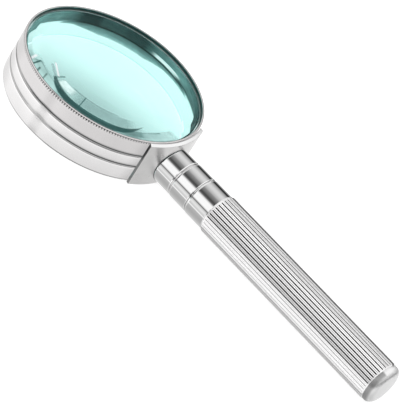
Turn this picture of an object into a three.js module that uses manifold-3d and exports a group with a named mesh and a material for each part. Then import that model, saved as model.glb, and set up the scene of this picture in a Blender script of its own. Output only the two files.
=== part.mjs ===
// Hand-held double-lens magnifier: a polished metal drum that holds two
// plano-convex lenses, and a stepped neck with a fluted grip that screws on.
// Millimetres, +Z up. The origin is the centre of the back lens's flat outer
// face. +Z is the optical axis, towards the front lens, and +X runs along the
// handle, away from the drum.
import * as THREE from 'three';
import * as BufferGeometryUtils from 'three/addons/utils/BufferGeometryUtils.js';
import Module from 'manifold-3d';

const wasm = await Module();
wasm.setup();

// ---------- shared dimensions ----------
const GAP = 0.2;                // running gap between parts that touch
const CLOSE_GAP = 0.1;          // tighter gap at seats and joints
const BORE_CLEAR = 0.3;         // radial clearance round studs, rods and plugs
const DRUM_FACETS = 60;
const HANDLE_FACETS = 30;
const SCREW_FACETS = 16;

// Drum
const DRUM_R = 35;
const DRUM_DEPTH = 18.4;        // back rim to front rim
const BACK_RECESS = 0.9;        // back lens sits this far inside the back rim
const FRONT_RECESS = 0.45;      // front lens sits this far inside the front rim
const Z_BACK = -BACK_RECESS;
const Z_FRONT = Z_BACK + DRUM_DEPTH;
const Z_FRONT_LENS = Z_FRONT - FRONT_RECESS;  // flat face of the front lens
const BEZEL_DEPTH = 6.8;
const Z_JOINT = Z_FRONT - BEZEL_DEPTH;        // joint between front ring and barrel
const BEZEL_BORE = 34.55;
const BARREL_BORE = 33.7;
const GROOVE_DEPTH = 0.35;      // of the joint and of the second groove
const GROOVE_FLOOR_R = DRUM_R - GROOVE_DEPTH;
const JOINT_MOUTH = 0.45;       // half width of the joint at the drum's surface

// Lenses
const LENS_EDGE = 2;            // edge thickness of both lenses
const Z_FLANGE = Z_FRONT_LENS - LENS_EDGE;    // flange on the back of the front lens

// Saddle and handle; lengths are stations along +X
const HANDLE_Z = 7.15;          // height of the handle axis
const SADDLE_IN = DRUM_R + GAP;
const SADDLE_OUT = 36.5;
const STUD_R = 2.9;
const STUD_BORE = STUD_R + BORE_CLEAR;
const STUD_HEAD = { radius: 4.2, end: 35.65 };
const ROD_R = 2.5;
const ROD_BORE = ROD_R + BORE_CLEAR;
const BOSS_END = 43.5;
const COLLAR_END = 52;
const GRIP_START = 61.05;
const GRIP_END = 143.2;
const GRIP_BORE = 6.5;
const PLUG_R = GRIP_BORE - BORE_CLEAR;        // parts that fit inside the grip

// ---------- finishes ----------
const finish = {
  drum: { color: 0xd8d6d6, roughness: 0.22, metalness: 1 },
  saddle: { color: 0xc9c8c8, roughness: 0.3, metalness: 1 },
  neck: { color: 0xd2d2d2, roughness: 0.1, metalness: 1 },
  grip: { color: 0xdadada, roughness: 0.18, metalness: 1 },
  steel: { color: 0x8d9093, roughness: 0.35, metalness: 1 },
  dark: { color: 0x2f4a48, roughness: 0.5, metalness: 0.4 },
  glass: { color: 0xcdf6ef, roughness: 0.02, metalness: 0, transparent: true, opacity: 0.35 },
};

// ---------- helpers ----------
const rad = THREE.MathUtils.degToRad;
const polar = (radius, angle) => (
  new THREE.Vector2(radius * Math.cos(angle), radius * Math.sin(angle))
);

// Merges shared corners, drops collapsed triangles, and turns the faces out.
function clean(geometry) {
  const bare = geometry.clone();
  bare.deleteAttribute('normal');
  bare.deleteAttribute('uv');
  const merged = BufferGeometryUtils.mergeVertices(bare, 1e-4);
  const index = merged.index.array;
  const corner = (k) => new THREE.Vector3().fromBufferAttribute(merged.attributes.position, k);
  const triangles = [];
  let volume = 0;
  for (let i = 0; i < index.length; i += 3) {
    const [first, second, third] = index.slice(i, i + 3);
    if (first === second || second === third || first === third) continue;
    triangles.push([first, second, third]);
    volume += corner(first).dot(corner(second).cross(corner(third)));
  }
  const outward = volume < 0
    ? triangles.map(([first, second, third]) => [first, third, second])
    : triangles;
  merged.setIndex(outward.flat());
  return merged;
}

function solid(geometry) {
  const cleaned = clean(geometry);
  return new wasm.Manifold(new wasm.Mesh({
    numProp: 3,
    vertProperties: new Float32Array(cleaned.attributes.position.array),
    triVerts: new Uint32Array(cleaned.index.array),
  }));
}

function geometryOf(manifold) {
  const { vertProperties, triVerts } = manifold.getMesh();
  const geometry = new THREE.BufferGeometry();
  geometry.setAttribute('position', new THREE.BufferAttribute(vertProperties, 3));
  geometry.setIndex(Array.from(triVerts));
  return geometry;
}

// Revolves [radius, height] points about +Y. An outline that starts off the
// axis is closed back to its first point.
function revolve(points, facets) {
  const outline = points.map(([radius, height]) => new THREE.Vector2(radius, height));
  if (points[0][0] !== 0) outline.push(outline[0]);
  return new THREE.LatheGeometry(outline, facets);
}

// Revolves [radius, z] points about the optical axis.
const turnZ = (points) => revolve(points, DRUM_FACETS).rotateX(Math.PI / 2);

// Revolves [radius, x] points about the handle axis.
const turnX = (points, facets = HANDLE_FACETS) => (
  revolve(points, facets).rotateZ(-Math.PI / 2).translate(0, 0, HANDLE_Z)
);

// Outline of a plain ring or tube.
const tube = (inside, outside, start, end) => [
  [inside, start], [outside, start], [outside, end], [inside, end],
];

// Spherical zone from its rim, which is left out, to its crown on the axis.
// direction is +1 when it bulges towards +Z and -1 towards -Z.
function crown(rimRadius, rimZ, height, direction) {
  const steps = 6;
  const sphereR = (rimRadius ** 2 + height ** 2) / (2 * height);
  const rimAngle = Math.asin(rimRadius / sphereR);
  const points = [];
  for (let i = 1; i <= steps; i++) {
    const angle = rimAngle * (1 - i / steps);
    const drop = sphereR * (1 - Math.cos(angle));
    points.push([sphereR * Math.sin(angle), rimZ + direction * (height - drop)]);
  }
  return points;
}

const group = new THREE.Group();

// Adds a geometry or a manifold solid as a named mesh.
function add(name, shape, look) {
  const geometry = clean(shape.isBufferGeometry ? shape : geometryOf(shape));
  geometry.computeVertexNormals();
  const mesh = new THREE.Mesh(geometry, new THREE.MeshStandardMaterial(finish[look]));
  mesh.name = name;
  group.add(mesh);
}

// ---------- saddle screws ----------
// Each points out from the optical axis, with its head inside the barrel wall.
const SCREW_PLACES = [[17, 2.9], [-17, 2.9], [17, 6.8], [-17, 6.8]]; // degrees from +X, z
const SCREW_HEAD_R = 1.3;
const SCREW_SHANK_R = 0.7;
const SCREW_START = 33.78;      // stations outwards from the optical axis
const SCREW_CONE_START = 33.82;
const SCREW_CONE_END = 34.55;
const SCREW_END = 36.05;

// A countersunk screw, or its hole when clearance is given.
function screw([angle, z], clearance = 0) {
  const start = SCREW_START - clearance * 3;
  const headR = SCREW_HEAD_R + clearance;
  const shankR = SCREW_SHANK_R + clearance;
  const end = SCREW_END + clearance;
  const outline = [
    [0, start], [headR, start], [headR, SCREW_CONE_START],
    [shankR, SCREW_CONE_END + clearance * 0.4], [shankR, end], [0, end],
  ];
  return revolve(outline, SCREW_FACETS)
    .rotateZ(-Math.PI / 2)
    .rotateZ(rad(angle))
    .translate(0, 0, z);
}

const drillScrews = (body) => SCREW_PLACES.reduce(
  (drilled, place) => drilled.subtract(solid(screw(place, GAP))),
  body,
);

// ---------- drum ----------
// Barrel: outer wall with one groove, and a thinner spigot inside the front ring.
function drumBarrel() {
  const zGroove = Z_FRONT - 11.7;
  const grooveMouth = 0.4;      // half widths of the groove
  const grooveFloor = 0.12;
  const spigotR = BEZEL_BORE - GAP;
  const spigotTop = 14.9;
  const boreChamfer = 0.25;
  const rimChamfer = 0.6;
  return drillScrews(solid(turnZ([
    [BARREL_BORE, Z_BACK + boreChamfer], [BARREL_BORE + boreChamfer, Z_BACK],
    [DRUM_R - rimChamfer, Z_BACK], [DRUM_R, Z_BACK + rimChamfer],
    [DRUM_R, zGroove - grooveMouth], [GROOVE_FLOOR_R, zGroove - grooveFloor],
    [GROOVE_FLOOR_R, zGroove + grooveFloor], [DRUM_R, zGroove + grooveMouth],
    [DRUM_R, Z_JOINT - JOINT_MOUTH], [GROOVE_FLOOR_R, Z_JOINT - CLOSE_GAP],
    [spigotR, Z_JOINT - CLOSE_GAP], [spigotR, spigotTop], [BARREL_BORE, spigotTop],
  ])));
}
add('drum_barrel', drumBarrel(), 'drum');

// Front ring, with a lip that overhangs the edge of the front lens.
function frontBezel() {
  const lipR = 34.2;
  const lipZ = Z_FRONT_LENS + CLOSE_GAP;
  const bevel = { width: 0.25, depth: 0.5 };
  return turnZ([
    [lipR, Z_FRONT], [lipR, lipZ], [BEZEL_BORE, lipZ], [BEZEL_BORE, Z_JOINT + CLOSE_GAP],
    [GROOVE_FLOOR_R, Z_JOINT + CLOSE_GAP], [DRUM_R, Z_JOINT + JOINT_MOUTH],
    [DRUM_R, Z_FRONT - bevel.depth], [DRUM_R - bevel.width, Z_FRONT],
  ]);
}
add('front_bezel_ring', frontBezel(), 'drum');

// Front lens: a flat flange, a bevel, then the convex zone facing -Z.
function frontLens() {
  const edgeR = BEZEL_BORE - GAP;
  const bevel = { radius: 31.5, height: 0.56 };
  const zone = { radius: 28.5, height: 1.54 };
  const zoneZ = Z_FLANGE - bevel.height;
  return turnZ([
    [0, Z_FRONT_LENS], [edgeR, Z_FRONT_LENS], [edgeR, Z_FLANGE], [bevel.radius, Z_FLANGE],
    [zone.radius, zoneZ], ...crown(zone.radius, zoneZ, zone.height, -1),
  ]);
}
add('front_lens', frontLens(), 'glass');

// Back lens: bevelled flat face at z = 0 and a convex face towards +Z.
function backLens() {
  const edgeR = 33.4;
  const chamfer = 0.5;
  const convexHeight = 2.5;
  return turnZ([
    [0, 0], [edgeR - chamfer, 0], [edgeR, chamfer], [edgeR, LENS_EDGE],
    ...crown(edgeR, LENS_EDGE, convexHeight, 1),
  ]);
}
add('back_lens', backLens(), 'glass');

// Thin ring between the two lenses.
const SPACER_R = 33.45;
const SPACER_WALL = 0.4;
add('lens_spacer_ring', turnZ(
  tube(SPACER_R - SPACER_WALL, SPACER_R, LENS_EDGE + 0.4, Z_FLANGE - 0.3),
), 'dark');

// Retaining ring round the back lens; its inner bevel follows the lens's bevel.
function retainingRing() {
  const inside = 33.1;
  const outside = BARREL_BORE - GAP;
  const back = Z_BACK + CLOSE_GAP;
  const front = 0.2;
  const bevel = 0.1;
  return turnZ([
    [inside, back], [outside, back], [outside, front],
    [inside + bevel, front], [inside, front - bevel],
  ]);
}
add('back_retaining_ring', retainingRing(), 'drum');

// ---------- saddle and boss ----------
// Curved plate against the drum, with a stepped hole for the stud.
function saddlePlate() {
  const halfAngle = 24.1;
  const steps = 16;
  const arc = (radius) => Array.from({ length: steps + 1 }, (_, i) => (
    polar(radius, rad(-halfAngle + (2 * halfAngle * i) / steps))
  ));
  const outline = new THREE.Shape([...arc(SADDLE_OUT), ...arc(SADDLE_IN).reverse()]);
  const plate = new THREE.ExtrudeGeometry(outline, { depth: DRUM_DEPTH, bevelEnabled: false });
  plate.translate(0, 0, Z_BACK);

  const pocketR = STUD_HEAD.radius + BORE_CLEAR;
  const pocketEnd = STUD_HEAD.end + 0.25;
  const studHole = turnX([
    [0, 30], [pocketR, 30], [pocketR, pocketEnd], [STUD_BORE, pocketEnd],
    [STUD_BORE, 40], [0, 40],
  ]);
  return drillScrews(solid(plate).subtract(solid(studHole)));
}
add('saddle_plate', saddlePlate(), 'saddle');

SCREW_PLACES.forEach((place, i) => add(`saddle_screw_${i + 1}`, screw(place), 'steel'));

// First step of the neck, its inner end cut to the curve of the saddle.
function handleBoss() {
  const radius = 7.3;
  const start = 34;             // inside the cut
  const chamfer = 0.2;
  const clearR = SADDLE_OUT + GAP;
  const saddleClear = new THREE.CylinderGeometry(clearR, clearR, 60, 144).rotateX(Math.PI / 2);
  return solid(turnX([
    [STUD_BORE, start], [radius, start], [radius, BOSS_END - chamfer],
    [radius - chamfer, BOSS_END], [STUD_BORE, BOSS_END],
  ])).subtract(solid(saddleClear));
}
add('handle_boss', handleBoss(), 'neck');

// M6 stud that the handle screws on, with its head in the saddle.
function handleStud() {
  const end = 47.2;
  const chamfer = 0.5;
  return turnX([
    [0, SADDLE_IN], [STUD_HEAD.radius, SADDLE_IN],
    [STUD_HEAD.radius, STUD_HEAD.end], [STUD_R, STUD_HEAD.end],
    [STUD_R, end - chamfer], [STUD_R - chamfer, end], [0, end],
  ]);
}
add('handle_stud', handleStud(), 'steel');

// ---------- neck ----------
const COLLAR_R = 7.48;
add('neck_washer', turnX(
  tube(3.3, COLLAR_R - 0.28, BOSS_END + 0.12, BOSS_END + 0.52),
), 'steel');

// Second step of the neck: blind holes from both ends, with a thin web on the
// axis between their bottoms.
function neckCollar() {
  const start = BOSS_END + 0.65;
  const startChamfer = 0.3;
  const endChamfer = 0.2;
  const studHole = { wallEnd: 48.3, bottom: 48.9 };
  const rodHole = { wallEnd: 49.8, bottom: 49 };
  return turnX([
    [STUD_BORE, start], [COLLAR_R - startChamfer, start], [COLLAR_R, start + startChamfer],
    [COLLAR_R, COLLAR_END - endChamfer], [COLLAR_R - endChamfer, COLLAR_END],
    [ROD_BORE, COLLAR_END], [ROD_BORE, rodHole.wallEnd], [0, rodHole.bottom],
    [0, studHole.bottom], [STUD_BORE, studHole.wallEnd],
  ]);
}
add('neck_collar', neckCollar(), 'neck');

// Third step of the neck, with a plug that enters the grip.
function gripFerrule() {
  const radius = 7.62;
  const chamfer = 0.3;
  const start = COLLAR_END + GAP;
  const shoulder = GRIP_START - GAP;
  const plugEnd = GRIP_START + 5;
  return turnX([
    [ROD_BORE, start], [radius - chamfer, start], [radius, start + chamfer],
    [radius, shoulder], [PLUG_R, shoulder], [PLUG_R, plugEnd], [ROD_BORE, plugEnd],
  ]);
}
add('grip_ferrule', gripFerrule(), 'neck');

// ---------- grip ----------
// M5 rod from the collar, through the grip, to the end cap.
function tieRod() {
  const start = 50.2;
  const end = 145.1;
  const chamfer = 0.4;
  return turnX([
    [0, start], [ROD_R - chamfer, start], [ROD_R, start + chamfer],
    [ROD_R, end - chamfer], [ROD_R - chamfer, end], [0, end],
  ]);
}
add('tie_rod', tieRod(), 'steel');

// Fluted tube, its ends trimmed by a turned envelope.
function gripSleeve() {
  const flutes = 36;
  const landR = 8.05;
  const rootR = 7.62;
  const phase = -0.07;          // in flute pitches
  const boreFacets = 36;
  const profile = [[0, landR], [0.66, landR], [0.83, rootR]]; // fraction of pitch, radius

  const outline = [];
  for (let i = 0; i < flutes; i++) {
    for (const [fraction, radius] of profile) {
      outline.push(polar(radius, (2 * Math.PI * (i + fraction + phase)) / flutes));
    }
  }
  const section = new THREE.Shape(outline);
  section.closePath();
  const bore = new THREE.Path(Array.from({ length: boreFacets }, (_, i) => (
    polar(GRIP_BORE, (-2 * Math.PI * i) / boreFacets)
  )));
  bore.closePath();
  section.holes.push(bore);
  const depth = GRIP_END - GRIP_START;
  const sleeve = new THREE.ExtrudeGeometry(section, { depth, bevelEnabled: false })
    .rotateY(Math.PI / 2)
    .translate(GRIP_START, 0, HANDLE_Z);

  const envelopeR = landR + 0.3;
  const envelope = turnX([
    [0, GRIP_START], [landR - 0.5, GRIP_START], [envelopeR, GRIP_START + 0.9],
    [envelopeR, GRIP_END - 0.7], [landR - 0.4, GRIP_END], [0, GRIP_END],
  ], 72);
  return solid(sleeve).intersect(solid(envelope));
}
add('grip_sleeve', gripSleeve(), 'grip');

add('rear_bush', turnX(tube(ROD_BORE, PLUG_R, 136.6, 142.3)), 'steel');
add('cap_washer', turnX(tube(ROD_BORE, 5.4, 142.45, 142.95)), 'steel');

// Domed cap: straight wall, rounded shoulder, slightly swollen end face.
function endCap() {
  const radius = 7.75;
  const chamfer = 0.15;
  const start = GRIP_END + GAP;
  const wallEnd = 143.75;
  const end = 146.65;
  const face = { radius: 4.35, swell: 0.25 };
  const hole = { wallEnd: 145.3, bottom: 145.6 };
  const steps = 7;
  const shoulder = [];
  for (let i = 1; i <= steps; i++) {
    const angle = rad((90 * i) / steps);
    shoulder.push([
      face.radius + (radius - face.radius) * Math.cos(angle),
      wallEnd + (end - face.swell - wallEnd) * Math.sin(angle),
    ]);
  }
  return turnX([
    [0, hole.bottom], [ROD_BORE, hole.wallEnd], [ROD_BORE, start],
    [radius - chamfer, start], [radius, start + chamfer], [radius, wallEnd],
    ...shoulder, [face.radius / 2, end - face.swell / 4], [0, end],
  ]);
}
add('end_cap', endCap(), 'neck');

export default group;
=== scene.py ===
# A hand magnifier: two lenses in a metal drum, with a handle.
# The drum turns about the z axis, its back at low z and its front bezel at high z.
# The handle's axis runs along +x at the height AXIS_Z. The camera looks from +x, -y and above.
import math
from functools import cached_property

import bmesh
import bpy
from mathutils import Matrix, Vector


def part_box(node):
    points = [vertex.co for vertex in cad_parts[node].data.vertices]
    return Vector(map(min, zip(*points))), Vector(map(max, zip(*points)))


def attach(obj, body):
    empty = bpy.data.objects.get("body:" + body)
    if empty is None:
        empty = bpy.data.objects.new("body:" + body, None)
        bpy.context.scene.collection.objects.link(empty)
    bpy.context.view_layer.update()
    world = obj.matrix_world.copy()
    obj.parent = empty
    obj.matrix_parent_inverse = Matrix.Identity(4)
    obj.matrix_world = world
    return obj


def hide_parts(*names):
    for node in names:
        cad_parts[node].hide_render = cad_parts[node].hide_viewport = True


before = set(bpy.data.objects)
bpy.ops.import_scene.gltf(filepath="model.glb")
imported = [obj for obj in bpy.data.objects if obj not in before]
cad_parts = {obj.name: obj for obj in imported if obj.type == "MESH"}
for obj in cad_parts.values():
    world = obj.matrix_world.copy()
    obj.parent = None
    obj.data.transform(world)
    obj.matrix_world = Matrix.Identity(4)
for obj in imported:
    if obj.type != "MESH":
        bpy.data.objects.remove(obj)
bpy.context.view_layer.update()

MM = 0.001
DEG = math.radians(1)
TAU = 2 * math.pi


# ------------------------------------------------------------------ sizes (mm)
def box_mm(node):
    """Low and high corners of a CAD piece."""
    low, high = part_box(node)
    return [c / MM for c in low], [c / MM for c in high]


barrel_low, barrel_high = box_mm("drum_barrel")
sleeve_low, sleeve_high = box_mm("grip_sleeve")

# Drum
Z_BACK = barrel_low[2]
Z_FRONT = box_mm("front_bezel_ring")[1][2]
DRUM_R = barrel_high[0]
Z_JOINT = Z_FRONT - 6.8         # between the barrel and the bezel
Z_GROOVE = Z_FRONT - 11.7       # groove round the barrel
RIM_IN = 34.2                   # opening of the bezel
SEAT_R = 33.7                   # inside of the barrel
BORE_R = 34.55                  # threaded inside of the bezel
SPIGOT_R = 34.35                # neck of the barrel that enters the bezel
SPIGOT_TOP = 14.9
SPACER_R = 33.05

# Lenses
FRONT_LENS_R, BACK_LENS_R = 34.35, 33.4
LENS_EDGE = 2.0                 # edge thickness
Z_LENS = Z_FRONT - 0.45         # flat front face
STEP_R, STEP_DEPTH = 31.5, 0.56  # step behind the front lens
DOME_R, DOME_RISE = 28.5, 1.54  # dome behind the step
BACK_RISE = 2.5                 # dome of the back lens

# Saddle plate
SADDLE_IN, SADDLE_OUT = 35.2, 36.5
SADDLE_ANGLE = 24.1             # half its sweep, degrees

# Handle, from the drum outwards
AXIS_Z = (sleeve_low[2] + sleeve_high[2]) / 2
BOSS_R, COLLAR_R, FERRULE_R, CAP_R = 7.3, 7.48, 7.62, 7.75
GRIP_R = (sleeve_high[2] - sleeve_low[2]) / 2
BOSS_END = box_mm("handle_boss")[1][0]
COLLAR_END = box_mm("neck_collar")[1][0]
GRIP_START, GRIP_END = sleeve_low[0], sleeve_high[0]
CAP_END = box_mm("end_cap")[1][0]
ROD_HOLE_R = 2.8
STUD_HOLE_R = 3.2


# ------------------------------------------------------------------ mesh helpers
def to_mesh(name, verts, faces, normals=None, sharp=None):
    """Smooth-shaded object from points in mm, with own normals or a sharp-edge angle."""
    mesh = bpy.data.meshes.new(name)
    mesh.from_pydata([tuple(c * MM for c in v) for v in verts], [], faces)
    mesh.validate()
    mesh.update()
    mesh.polygons.foreach_set("use_smooth", [True] * len(mesh.polygons))
    if normals is not None:
        mesh.normals_split_custom_set_from_vertices(normals)
    elif sharp is not None:
        mesh.set_sharp_from_angle(angle=math.radians(sharp))
    ob = bpy.data.objects.new(name, mesh)
    bpy.context.scene.collection.objects.link(ob)
    return ob


def tidy(ob, sharp=None):
    """Merges doubles, turns the faces outwards and marks edges above the sharp angle."""
    mesh = ob.data
    bm = bmesh.new()
    bm.from_mesh(mesh)
    bmesh.ops.remove_doubles(bm, verts=bm.verts, dist=1e-7)
    bmesh.ops.recalc_face_normals(bm, faces=bm.faces)
    bm.to_mesh(mesh)
    bm.free()
    mesh.update()
    mesh.polygons.foreach_set("use_smooth", [True] * len(mesh.polygons))
    if sharp is not None:
        mesh.set_sharp_from_angle(angle=math.radians(sharp))


def weight_normals(ob):
    ob.modifiers.new("weighted", "WEIGHTED_NORMAL").keep_sharp = True


def signed_area(points):
    following = points[1:] + points[:1]
    return sum(p[0] * q[1] - q[0] * p[1] for p, q in zip(points, following)) / 2


def outline(points):
    """Corners (r, h) or (r, h, fillet) -> list of (r, h, normal r, normal h).

    A fillet is an arc tangent to both sides."""
    corners = [(p[0], p[1], p[2] if len(p) > 2 else 0.0) for p in points]
    count = len(corners)
    sense = 1 if signed_area(corners) > 0 else -1

    def side_from(i):
        start, end = corners[i % count], corners[(i + 1) % count]
        dx, dy = end[0] - start[0], end[1] - start[1]
        length = math.hypot(dx, dy)
        return dx / length, dy / length, length

    out = []
    for i, (x, y, fillet) in enumerate(corners):
        in_x, in_y, in_length = side_from(i - 1)
        out_x, out_y, out_length = side_from(i)
        normal_in = (sense * in_y, -sense * in_x)
        turn = math.atan2(in_x * out_y - in_y * out_x, in_x * out_x + in_y * out_y)
        if fillet <= 0 or abs(turn) < 1e-4:
            nx = normal_in[0] + sense * out_y
            ny = normal_in[1] - sense * out_x
            length = math.hypot(nx, ny) or 1
            out.append((x, y, nx / length, ny / length))
            continue
        # the fillet shrinks where a side is too short for it
        trim = min(abs(fillet * math.tan(turn / 2)), 0.49 * in_length, 0.49 * out_length)
        radius = trim / abs(math.tan(turn / 2))
        start_x, start_y = x - in_x * trim, y - in_y * trim
        side = 1 if turn > 0 else -1
        centre_x = start_x - side * in_y * radius
        centre_y = start_y + side * in_x * radius
        steps = max(3, int(abs(turn) / math.radians(14)) + 1)
        first = math.atan2(start_y - centre_y, start_x - centre_x)
        first_normal = math.atan2(normal_in[1], normal_in[0])
        for j in range(steps + 1):
            angle = first + turn * j / steps
            normal = first_normal + turn * j / steps
            out.append((centre_x + radius * math.cos(angle), centre_y + radius * math.sin(angle),
                        math.cos(normal), math.sin(normal)))
    return out


def turned(name, points, axis, count):
    """Revolves a filleted outline about the drum's axis (z) or the handle's (x).

    Points with r = 0 close on the axis."""
    section = outline(points)
    verts, normals, rows = [], [], []
    for r, h, normal_r, normal_h in section:
        if r < 1e-6:
            rows.append([len(verts)] * count)
            verts.append((0, 0, h))
            normals.append((0, 0, 1 if normal_h > 0 else -1))
            continue
        rows.append(list(range(len(verts), len(verts) + count)))
        for j in range(count):
            cos, sin = math.cos(TAU * j / count), math.sin(TAU * j / count)
            verts.append((r * cos, r * sin, h))
            normals.append((normal_r * cos, normal_r * sin, normal_h))
    faces = []
    for i, a in enumerate(rows):
        following = (i + 1) % len(rows)
        b = rows[following]
        if section[i][0] < 1e-6 and section[following][0] < 1e-6:
            continue
        for j in range(count):
            k = (j + 1) % count
            faces.append(list(dict.fromkeys([a[j], a[k], b[k], b[j]])))
    if signed_area(points) < 0:
        faces = [f[::-1] for f in faces]
    if axis == "x":
        verts = [(h, x, y + AXIS_Z) for x, y, h in verts]
        normals = [(h, x, y) for x, y, h in normals]
    return to_mesh(name, verts, faces, normals)


def rings(name, rows, sharp=None, capped=False, flip=False):
    """Joins rows of vertices, each a closed ring with the same count.

    The last row joins the first, unless both ends are capped."""
    count = len(rows[0])
    total = len(rows)
    faces = []
    for i in range(total - 1 if capped else total):
        a, b = i * count, ((i + 1) % total) * count
        for j in range(count):
            k = (j + 1) % count
            faces.append([a + j, a + k, b + k, b + j])
    if capped:
        faces.append(list(range(count))[::-1])
        faces.append([(total - 1) * count + j for j in range(count)])
    if flip:
        faces = [f[::-1] for f in faces]
    return to_mesh(name, [v for row in rows for v in row], faces, sharp=sharp)


def ring_x(x, radius, count):
    """Ring about the handle's axis; x and radius may be functions of the angle."""
    row = []
    for j in range(count):
        angle = TAU * j / count
        r = radius(angle) if callable(radius) else radius
        row.append((x(angle) if callable(x) else x,
                    r * math.cos(angle), AXIS_Z + r * math.sin(angle)))
    return row


def ring_z(z, radius_at, count):
    """Ring about the drum's axis, with a radius that depends on the angle."""
    row = []
    for j in range(count):
        angle = TAU * j / count
        r = radius_at(angle)
        row.append((r * math.cos(angle), r * math.sin(angle), z))
    return row


def triangle(turns):
    """Triangle wave: 1 at whole turns, 0 halfway between."""
    return abs(2 * (turns % 1.0) - 1)


def install(ob, body, material, node):
    """Hangs a finished piece on its body in place of a CAD piece."""
    ob.data.materials.append(material)
    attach(ob, body)
    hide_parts(node)


# ------------------------------------------------------------------ shader helpers
class Value:
    """A node's output socket; arithmetic on it adds math nodes."""

    def __init__(self, graph, socket):
        self.graph = graph
        self.socket = socket

    def output(self, name):
        """Another output of the same node."""
        return Value(self.graph, self.socket.node.outputs[name])

    def math(self, operation, *others):
        return self.graph.math(operation, self, *others)

    def __add__(self, other):
        return self.math("ADD", other)

    def __sub__(self, other):
        return self.math("SUBTRACT", other)

    def __rsub__(self, other):
        return self.graph.math("SUBTRACT", other, self)

    def __mul__(self, other):
        return self.math("MULTIPLY", other)

    def __truediv__(self, other):
        return self.math("DIVIDE", other)

    def __abs__(self):
        return self.math("ABSOLUTE")

    def times_plus(self, factor, addend):
        return self.math("MULTIPLY_ADD", factor, addend)

    def max(self, other):
        return self.math("MAXIMUM", other)

    def band(self, start, end, unit=1.0, smooth=True):
        """0 on the start's side, 1 on the end's side; start may be above end."""
        inputs = {"From Min": min(start, end) * unit, "From Max": max(start, end) * unit,
                  "Value": self}
        if start > end:
            inputs.update({"To Min": 1.0, "To Max": 0.0})
        kind = "SMOOTHSTEP" if smooth else "LINEAR"
        return self.graph.node("MapRange", inputs, interpolation_type=kind)

    def window(self, start, full, fade, end, unit):
        """Rises from start to full and falls from fade to end."""
        return self.band(start, full, unit) * self.band(end, fade, unit)

    def split(self):
        parts = self.graph.node("SeparateXYZ", [self])
        return [parts.output(name) for name in "XYZ"]

    def noise(self, scale, detail=3.0, roughness=0.6):
        return self.graph.node("TexNoise", {
            "Vector": self, "Scale": scale, "Detail": detail, "Roughness": roughness}, "Fac")

    def ramp(self, stops):
        """Colour ramp; a stop is (position, grey or colour)."""
        ramp = self.graph.node("ValToRGB", [self])
        elements = ramp.socket.node.color_ramp.elements
        elements.remove(elements[1])
        for i, (position, colour) in enumerate(stops):
            element = elements[0] if i == 0 else elements.new(position)
            element.position = position
            element.color = (*colour, 1) if isinstance(colour, tuple) else (*[colour] * 3, 1)
        return ramp

    def ramp_degrees(self, stops):
        """Colour ramp over a turn; a stop is (degrees from -180 to 180, grey or colour)."""
        return self.ramp([((degrees + 180) / 360, colour) for degrees, colour in stops])

    def mix(self, first, second):
        """Colour that goes from first to second as this value goes from 0 to 1."""
        return self.graph.node("Mix", {"Factor": self, "A": first, "B": second}, "Result",
                               data_type="RGBA")

    def tinted(self, other):
        """This colour multiplied by another."""
        return self.graph.node("Mix", {"Factor": 1.0, "A": self, "B": other}, "Result",
                               data_type="RGBA", blend_type="MULTIPLY")


class Graph:
    """Emptied node tree of a material or world."""

    def __init__(self, owner):
        owner.use_nodes = True
        self.tree = owner.node_tree
        self.tree.nodes.clear()

    def put(self, socket, value):
        if isinstance(value, Value):
            self.tree.links.new(value.socket, socket)
        elif isinstance(value, tuple):
            socket.default_value = (*value, 1)
        else:
            socket.default_value = value

    def node(self, kind, inputs=(), output=0, **settings):
        """Adds a node; inputs are listed in socket order or given by socket name."""
        node = self.tree.nodes.new("ShaderNode" + kind)
        for setting, value in settings.items():
            setattr(node, setting, value)
        for key, value in inputs.items() if isinstance(inputs, dict) else enumerate(inputs):
            self.put(node.inputs[key], value)
        return Value(self, node.outputs[output]) if node.outputs else None

    def math(self, operation, *values):
        return self.node("Math", values, operation=operation)

    def join(self, x, y, z):
        return self.node("CombineXYZ", [x, y, z])

    def mix_shader(self, factor, first, second):
        return self.node("MixShader", [factor, first, second])

    def bump(self, height, strength, distance):
        return self.node("Bump", {"Strength": strength, "Distance": distance, "Height": height})


def hypotenuse(a, b):
    return (a * a + b * b).math("SQRT")


def turns(angle):
    """Angle from -pi to pi as a fraction of a turn, 0 to 1."""
    return angle.times_plus(1 / TAU, 0.5)


class Polar:
    """Object-space place, with its radius, height and angle about the drum's axis (z)
    or the handle's (x)."""

    def __init__(self, graph, axis, place=None):
        self.graph = graph
        self.place = place or graph.node("TexCoord", output="Object")
        self.x, self.y, self.z = self.place.split()
        if axis == "z":
            self.across, self.over, self.height = self.x, self.y, self.z
        else:
            self.across, self.over, self.height = self.y, self.z - AXIS_Z * MM, self.x
        self.radius = hypotenuse(self.across, self.over)

    @cached_property
    def angle(self):
        return self.over.math("ARCTAN2", self.across)


def shaded(colour, factor):
    return tuple(c * factor for c in colour)


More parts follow.
